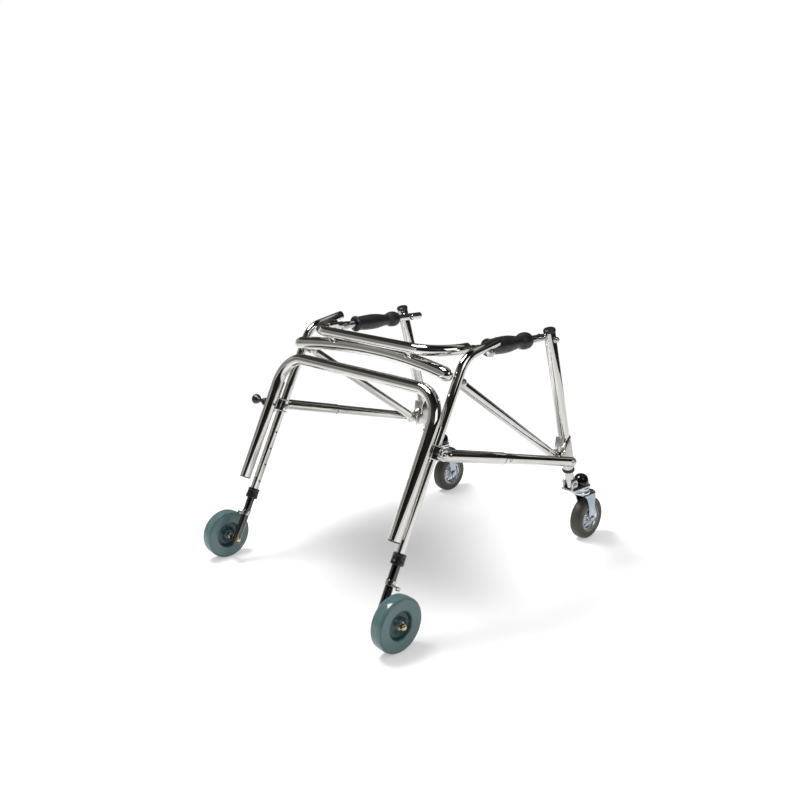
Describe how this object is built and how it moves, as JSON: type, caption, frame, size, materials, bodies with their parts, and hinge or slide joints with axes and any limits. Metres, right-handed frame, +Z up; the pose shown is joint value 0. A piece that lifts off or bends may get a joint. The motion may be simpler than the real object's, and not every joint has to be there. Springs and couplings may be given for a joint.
{
  "type": "posterior walker",
  "caption": "Folding chrome tube walker that stands behind its user, with rubber hand grips, sliding lower rails, plain rear wheels and swivelling front casters.",
  "frame": {"origin": "centre of the footprint on the floor, midway between the outsides of the rear wheels and the fronts of the casters", "axes": "+X to the user's right, +Y the walking direction, +Z up"},
  "size_m": [0.7066, 0.9088, 0.6194],
  "materials": {
    "chrome": "mirror plated",
    "zinc": "zinc plated",
    "yellow_zinc": "yellow passivated",
    "black_plastic": "moulded",
    "grip_rubber": "matt",
    "wheel_grey": "moulded, satin",
    "hub_teal": "moulded",
    "caster_rubber": "moulded, satin"
  },
  "bodies": {
    "frame": {"rear_frame": "chrome", "left_side_tube": "chrome", "right_side_tube": "chrome", "lower_back_bar": "chrome", "upper_back_bar": "chrome", "bar_links": "chrome", "left_hinge_bracket": "chrome", "right_hinge_bracket": "chrome", "hinge_blocks": "black_plastic", "hinge_pins": "chrome", "tube_plugs": "black_plastic", "frame_bolts": "zinc", "pull_pin_bush": "zinc", "left_leg_collar": "black_plastic", "right_leg_collar": "black_plastic"},
    "pull_pin": {"pull_pin_knob": "black_plastic"},
    "left_leg": {"left_inner_leg": "chrome", "left_rear_axle": "yellow_zinc", "left_roll_stop": "chrome"},
    "left_rear_wheel": {"left_rear_tyre": "wheel_grey", "left_rear_hub": "hub_teal"},
    "left_handle": {"left_handle_rod": "chrome", "left_grip": "grip_rubber"},
    "left_brace_arm": {"left_brace": "chrome"},
    "left_post": {"left_front_post": "chrome", "left_corner_gusset": "chrome", "left_post_mouldings": "black_plastic", "left_post_bolts": "zinc"},
    "left_rail": {"left_rail_outer": "chrome"},
    "left_rail_slide": {"left_rail_inner": "chrome"},
    "left_button": {"left_rail_button": "zinc"},
    "left_stem": {"left_caster_stem": "chrome", "left_caster_arm": "zinc", "left_caster_dome": "black_plastic"},
    "left_caster": {"left_caster_fork": "zinc", "left_caster_axle": "zinc"},
    "left_caster_wheel": {"left_caster_tyre": "caster_rubber", "left_caster_rim": "zinc"},
    "right_leg": {"right_inner_leg": "chrome", "right_rear_axle": "yellow_zinc", "right_roll_stop": "chrome"},
    "right_rear_wheel": {"right_rear_tyre": "wheel_grey", "right_rear_hub": "hub_teal"},
    "right_handle": {"right_handle_rod": "chrome", "right_grip": "grip_rubber"},
    "right_brace_arm": {"right_brace": "chrome"},
    "right_post": {"right_front_post": "chrome", "right_corner_gusset": "chrome", "right_post_mouldings": "black_plastic", "right_post_bolts": "zinc"},
    "right_rail": {"right_rail_outer": "chrome"},
    "right_rail_slide": {"right_rail_inner": "chrome"},
    "right_button": {"right_rail_button": "zinc"},
    "right_stem": {"right_caster_stem": "chrome", "right_caster_arm": "zinc", "right_caster_dome": "black_plastic"},
    "right_caster": {"right_caster_fork": "zinc", "right_caster_axle": "zinc"},
    "right_caster_wheel": {"right_caster_tyre": "caster_rubber", "right_caster_rim": "zinc"}
  },
  "joints": [
    {"name": "pull_pin_draw", "type": "slide", "parent": "frame", "child": "pull_pin", "axis": [-1, 0, 0], "range_m": [0, 0.008], "stiffness_N_per_m": 900},
    {"name": "left_fold", "type": "hinge", "parent": "frame", "child": "left_brace_arm", "pos_m": [-0.262, -0.14053, 0.53], "axis": [-1, 0, 0], "range_deg": [0, 40]},
    {"name": "left_post_turn", "type": "hinge", "parent": "left_brace_arm", "child": "left_post", "pos_m": [-0.26, 0.24227, 0.266], "axis": [-1, 0, 0], "range_deg": [-12.15, 0]},
    {"name": "left_handle_turn", "type": "hinge", "parent": "frame", "child": "left_handle", "pos_m": [-0.234, -0.05321, 0.58747], "axis": [-1, 0, 0], "range_deg": [0, 54.15]},
    {"name": "left_rail_turn", "type": "hinge", "parent": "frame", "child": "left_rail", "pos_m": [-0.303, -0.23169, 0.391], "axis": [-1, 0, 0], "range_deg": [0, 40.6]},
    {"name": "left_rail_draw", "type": "slide", "parent": "left_rail", "child": "left_rail_slide", "axis": [0, -0.9669, 0.255], "range_m": [0, 0.1139]},
    {"name": "left_button_press", "type": "slide", "parent": "left_rail_slide", "child": "left_button", "axis": [1, 0, 0], "range_m": [0, 0.0022], "stiffness_N_per_m": 800},
    {"name": "left_leg_height", "type": "slide", "parent": "frame", "child": "left_leg", "axis": [0, -0.4384, -0.8988], "range_m": [-0.025, 0.075]},
    {"name": "left_rear_spin", "type": "hinge", "parent": "left_leg", "child": "left_rear_wheel", "pos_m": [-0.327, -0.39191, 0.0625], "axis": [1, 0, 0], "continuous": true},
    {"name": "left_stem_height", "type": "slide", "parent": "left_post", "child": "left_stem", "axis": [0, 0.279, -0.9603], "range_m": [-0.0125, 0.075]},
    {"name": "left_caster_swivel", "type": "hinge", "parent": "left_stem", "child": "left_caster", "pos_m": [-0.26, 0.3609, 0.15], "axis": [0, 0, 1], "continuous": true},
    {"name": "left_caster_spin", "type": "hinge", "parent": "left_caster", "child": "left_caster_wheel", "pos_m": [-0.26, 0.39541, 0.059], "axis": [1, 0, 0], "continuous": true},
    {"name": "right_fold", "type": "hinge", "parent": "frame", "child": "right_brace_arm", "pos_m": [0.262, -0.14053, 0.53], "axis": [-1, 0, 0], "range_deg": [0, 40]},
    {"name": "right_post_turn", "type": "hinge", "parent": "right_brace_arm", "child": "right_post", "pos_m": [0.26, 0.24227, 0.266], "axis": [-1, 0, 0], "range_deg": [-12.15, 0]},
    {"name": "right_handle_turn", "type": "hinge", "parent": "frame", "child": "right_handle", "pos_m": [0.234, -0.05321, 0.58747], "axis": [-1, 0, 0], "range_deg": [0, 54.15]},
    {"name": "right_rail_turn", "type": "hinge", "parent": "frame", "child": "right_rail", "pos_m": [0.303, -0.23169, 0.391], "axis": [-1, 0, 0], "range_deg": [0, 40.6]},
    {"name": "right_rail_draw", "type": "slide", "parent": "right_rail", "child": "right_rail_slide", "axis": [0, -0.9669, 0.255], "range_m": [0, 0.1139]},
    {"name": "right_button_press", "type": "slide", "parent": "right_rail_slide", "child": "right_button", "axis": [-1, 0, 0], "range_m": [0, 0.0022], "stiffness_N_per_m": 800},
    {"name": "right_leg_height", "type": "slide", "parent": "frame", "child": "right_leg", "axis": [0, -0.4384, -0.8988], "range_m": [-0.025, 0.075]},
    {"name": "right_rear_spin", "type": "hinge", "parent": "right_leg", "child": "right_rear_wheel", "pos_m": [0.327, -0.39191, 0.0625], "axis": [1, 0, 0], "continuous": true},
    {"name": "right_stem_height", "type": "slide", "parent": "right_post", "child": "right_stem", "axis": [0, 0.279, -0.9603], "range_m": [-0.0125, 0.075]},
    {"name": "right_caster_swivel", "type": "hinge", "parent": "right_stem", "child": "right_caster", "pos_m": [0.26, 0.3609, 0.15], "axis": [0, 0, 1], "continuous": true},
    {"name": "right_caster_spin", "type": "hinge", "parent": "right_caster", "child": "right_caster_wheel", "pos_m": [0.26, 0.39541, 0.059], "axis": [1, 0, 0], "continuous": true}
  ],
  "couplings": [
    {"joint": "left_handle_turn", "follows": "left_fold", "ratio": 1.3512},
    {"joint": "left_post_turn", "follows": "left_fold", "ratio": -0.3015},
    {"joint": "left_rail_turn", "follows": "left_fold", "ratio": 1.0114},
    {"joint": "left_rail_draw", "follows": "left_fold", "m_per_rad": 0.1628},
    {"joint": "right_handle_turn", "follows": "right_fold", "ratio": 1.3512},
    {"joint": "right_post_turn", "follows": "right_fold", "ratio": -0.3015},
    {"joint": "right_rail_turn", "follows": "right_fold", "ratio": 1.0114},
    {"joint": "right_rail_draw", "follows": "right_fold", "m_per_rad": 0.1628}
  ]
}
